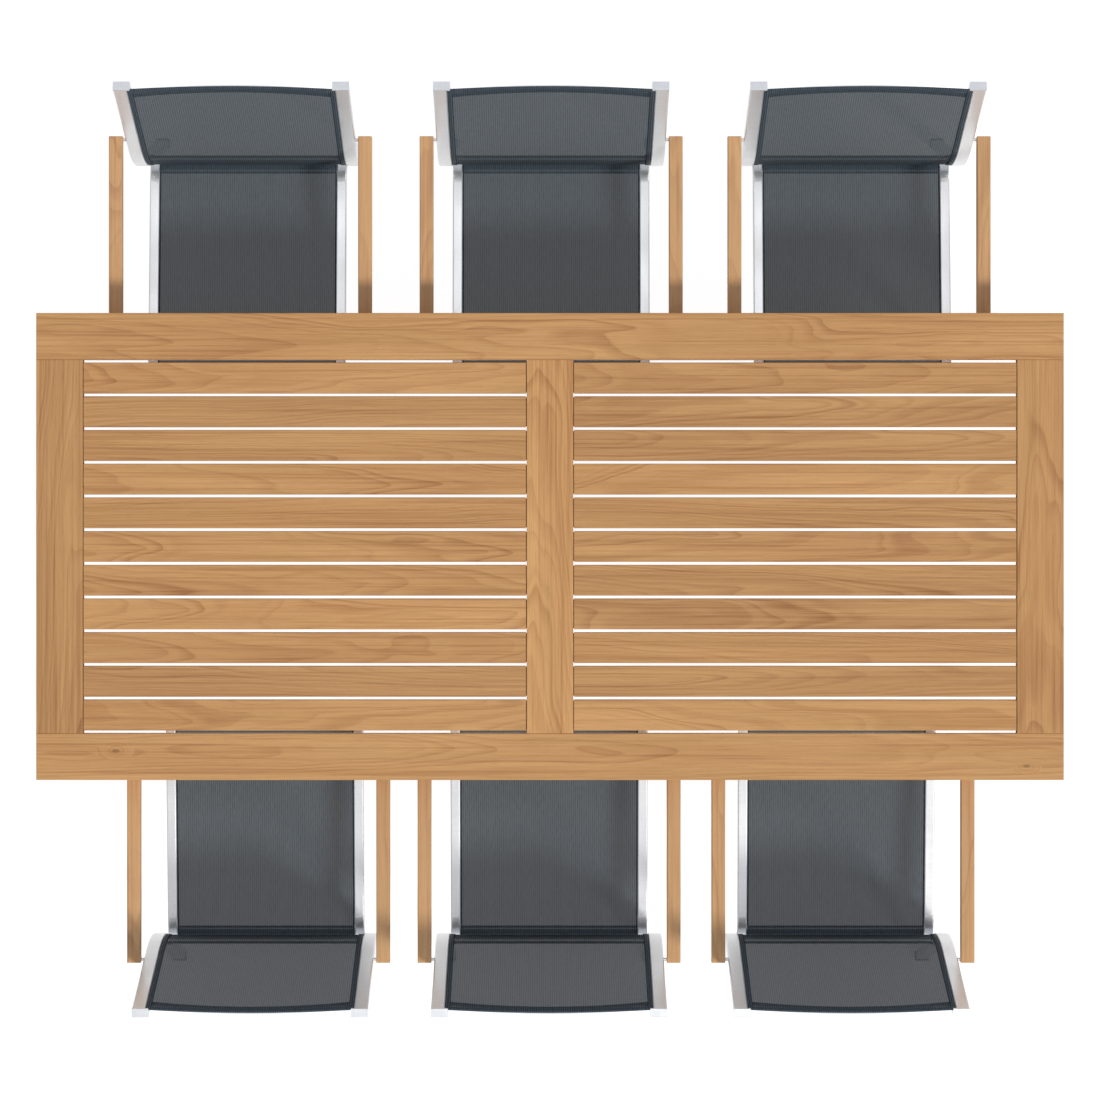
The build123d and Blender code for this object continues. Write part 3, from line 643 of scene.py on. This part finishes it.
# %% Back hems
HEM_WIDE, HEM_FORWARD, TOP_HEM, HEM_EDGE = 0.0105, 0.0010, 0.0070, 0.2187
hem_start = (cloth_top - rearward * HEM_FORWARD)[1:]
hem_moves = back_moves(HEM_FORWARD)
left_hem, hem_length = lay_cloth(
    "left_hem", -HEM_EDGE, -HEM_EDGE + HEM_WIDE, hem_start, down_heading, hem_moves, 2, back_sag
)
right_hem, hem_length = lay_cloth(
    "right_hem", HEM_EDGE - HEM_WIDE, HEM_EDGE, hem_start, down_heading, hem_moves, 2, back_sag
)

FOLD = 0.0019
fold_start = (cloth_top - up_back * TOP_HEM + rearward * FOLD)[1:]
fold_moves = [("run", TOP_HEM, 3), ("turn", FOLD, radians(180), 8), ("run", TOP_HEM, 3)]


def top_sag(x, walked):
    """The top hem sags as the cloth's top edge does, however far round the fold it is."""
    return back_sag(x, 0.0)


top_hem, fold_length = lay_cloth(
    "top_hem", -HEM_EDGE, HEM_EDGE, fold_start, pi / 2 - RECLINE, fold_moves, 32, top_sag, rearward
)
print("side hems", round(hem_length, 3), "m long; top hem", round(fold_length * 1000, 1), "mm of cloth")

# %% [markdown]
# ## Seat sling
# The seat is stretched between the front and rear bars and looped round both, with a flap sewn back
# under each end. It sinks a little in the middle. Its sides run in the rails' inner faces. Along each
# side lies a thin dark cord beside the steel: a dark part that stands in for the shadow in the groove
# between rail and cloth.

# %% Seat sling
RAKE = radians(5.43)
RAIL_INNER, SEAT_FLAP, SEAT_SAG, WRAP = 0.197, 0.012, 0.005, 0.0106
SEAT_CLEAR = 0.0012
SEAT_HEIGHT, BAR_DROP = 0.433, 0.016
FRONT_BAR_Y, REAR_BAR_Y = -0.313, 0.151
front_bar, rear_bar = (
    Vector((0.0, y, SEAT_HEIGHT - y * tan(RAKE) - BAR_DROP)) for y in (FRONT_BAR_Y, REAR_BAR_Y)
)
seat_run = (rear_bar - front_bar).length
along_seat = Vector((0.0, cos(RAKE), -sin(RAKE)))
above_seat = Vector((0.0, sin(RAKE), cos(RAKE)))
seat_start = front_bar - above_seat * WRAP + along_seat * SEAT_FLAP
top_from = SEAT_FLAP + pi * WRAP


def seat_sag(x, walked):
    """Height of the seat cloth over a flat one: below it in the middle."""
    share = min(1.0, max(0.0, (walked - top_from) / seat_run))
    return -SEAT_SAG * sin(pi * share) ** 0.7 * (1 - (x / RAIL_INNER) ** 2)


flap, wrap = ("run", SEAT_FLAP, 2), ("turn", WRAP, -pi, 12)
seat_moves = [flap, wrap, ("run", seat_run, 26), wrap, flap]
seat_edge = RAIL_INNER - SEAT_CLEAR
seat_mesh, seat_length = lay_cloth(
    "seat_cloth", -seat_edge, seat_edge, seat_start[1:], pi - RAKE, seat_moves, 30, seat_sag
)
print("seat cloth is", round(seat_length, 3), "m long, with", round(seat_run, 3), "m between its bars")

# %% [markdown]
# ## Dark cords in the seat's edges
# The cord in each side of the seat is a thin straight rod from bar to bar, tilted with the seat, with
# its two rims rounded off. The cords are dark and stand in for the painted shadow in the groove
# between each rail and the cloth. Each gets a UV map too, because it wears the hems' material.

# %% Seat edge cords, dark for the groove shadow
EDGE_CORD, CORD_EXTRA = 0.0016, 0.012
cord_tilt = Matrix.Rotation(pi / 2 - RAKE, 3, "X")
cord_middle = (front_bar + rear_bar) / 2 + above_seat * WRAP
bm = bmesh.new()
for side in (-1, 1):
    rod = bmesh.ops.create_cone(
        bm, cap_ends=True, segments=10, radius1=EDGE_CORD, radius2=EDGE_CORD, depth=seat_run + CORD_EXTRA
    )["verts"]
    bmesh.ops.rotate(bm, verts=rod, cent=(0, 0, 0), matrix=cord_tilt)
    bmesh.ops.translate(bm, verts=rod, vec=cord_middle + Vector((side * (RAIL_INNER - EDGE_CORD), 0.0, 0.0)))
caps = [edge for edge in bm.edges if any(len(face.verts) > 4 for face in edge.link_faces)]
bmesh.ops.bevel(bm, geom=caps, offset=0.0005, affect="EDGES", segments=2, profile=0.5, material=-1)
cord_uv = bm.loops.layers.uv.new("cloth")
for face in bm.faces:
    face.smooth = True
    for loop in face.loops:
        loop[cord_uv].uv = (loop.vert.co.x, loop.vert.co.y)
bmesh.ops.recalc_face_normals(bm, faces=bm.faces[:])
edge_shadow_cords = bpy.data.meshes.new("edge_shadow_cords")
bm.to_mesh(edge_shadow_cords)
bm.free()
print("edge cords of", EDGE_CORD * 2000, "mm")

# %% [markdown]
# ## Dressing the chairs
# Every chair gets copies of the same meshes, moved to where its frame stands. Chairs 4 to 6 face the
# other way, so theirs are turned half round first. The place goes into the mesh, and the object
# stays at the origin. Each sling replaces its CAD slab and rides on its chair, together with its
# hems or cords.

# %% Place the slings
SLAB_FRONT, HEM_THICK = 0.322, 0.0011


def chair_place(number):
    """The matrix from a chair's own frame to the room, from where its seat slab is."""
    low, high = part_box(f"chair_{number}_seat_sling")
    x = (low[0] + high[0]) / 2
    if number <= 3:
        return Matrix.Translation((x, low[1] + SLAB_FRONT, 0.0))
    return Matrix.Translation((x, high[1] - SLAB_FRONT, 0.0)) @ Matrix.Rotation(pi, 4, "Z")


def put_on_chair(number, name, meshes, material, thickness=0.0):
    """One object from one or more chair-frame meshes, placed on a chair and riding on it."""
    bm = bmesh.new()
    for mesh in meshes:
        bm.from_mesh(mesh)
    bmesh.ops.transform(bm, matrix=chair_place(number), verts=bm.verts[:])
    placed = bpy.data.meshes.new(f"chair_{number}_{name}")
    bm.to_mesh(placed)
    bm.free()
    placed.materials.append(material)
    piece = bpy.data.objects.new(f"chair_{number}_{name}", placed)
    bpy.context.scene.collection.objects.link(piece)
    if thickness:
        wall = piece.modifiers.new("two_layers", "SOLIDIFY")
        wall.thickness = thickness
        wall.offset = 0.0
    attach(piece, f"chair_{number}")
    return piece


for number in range(1, 7):
    back = put_on_chair(number, "back_mesh", [back_mesh], back_weave)
    seat = put_on_chair(number, "seat_mesh", [seat_mesh], seat_weave)
    hems = put_on_chair(number, "back_hems", [left_hem, right_hem, top_hem], hem_weave, HEM_THICK)
    # The edge cords are dark parts put in as painted shadow in the groove beside each rail.
    cords = put_on_chair(number, "seat_edge_shadow_cords", [edge_shadow_cords], hem_weave)
    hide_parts(f"chair_{number}_back_sling")
    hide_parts(f"chair_{number}_seat_sling")
print("6 chairs dressed; the last stands at", [round(v, 3) for v in chair_place(6).translation[:2]])

# %% [markdown]
# ## Floor
# The floor is plain and white. Most of its brightness is light that it gives off itself, so that it
# stays white even where the furniture shades it. The cost is that it also lights the furniture from
# below, so legs and undersides look paler than they would on a plain floor. It isn't part of the set.

# %% Floor
FLOOR_REACH = 14.0
FLOOR_DARK, FLOOR_LIGHT = (0.34, 0.34, 0.34, 1.0), (0.36, 0.36, 0.36, 1.0)
bm = bmesh.new()
bmesh.ops.create_grid(bm, x_segments=4, y_segments=4, size=FLOOR_REACH)
floor_mesh = bpy.data.meshes.new("studio_floor")
bm.to_mesh(floor_mesh)
bm.free()
floor = bpy.data.objects.new("studio_floor", floor_mesh)
bpy.context.scene.collection.objects.link(floor)
floor_white, graph, shader = new_material("studio_white")
place = add(graph, "ShaderNodeTexCoord").outputs["Object"]
mottle = noise(graph, place, (3.0, 3.0, 3.0), 2.0)
graph.links.new(blend_colour(graph, mottle, FLOOR_DARK, FLOOR_LIGHT), shader.inputs["Base Color"])
shader.inputs["Roughness"].default_value = 0.9
shader.inputs["Specular IOR Level"].default_value = 0.0
shader.inputs["Emission Color"].default_value = (1.0, 1.0, 1.0, 1.0)
shader.inputs["Emission Strength"].default_value = 0.88
floor_mesh.materials.append(floor_white)
print("floor spans", round(floor.dimensions.x, 1), "m")
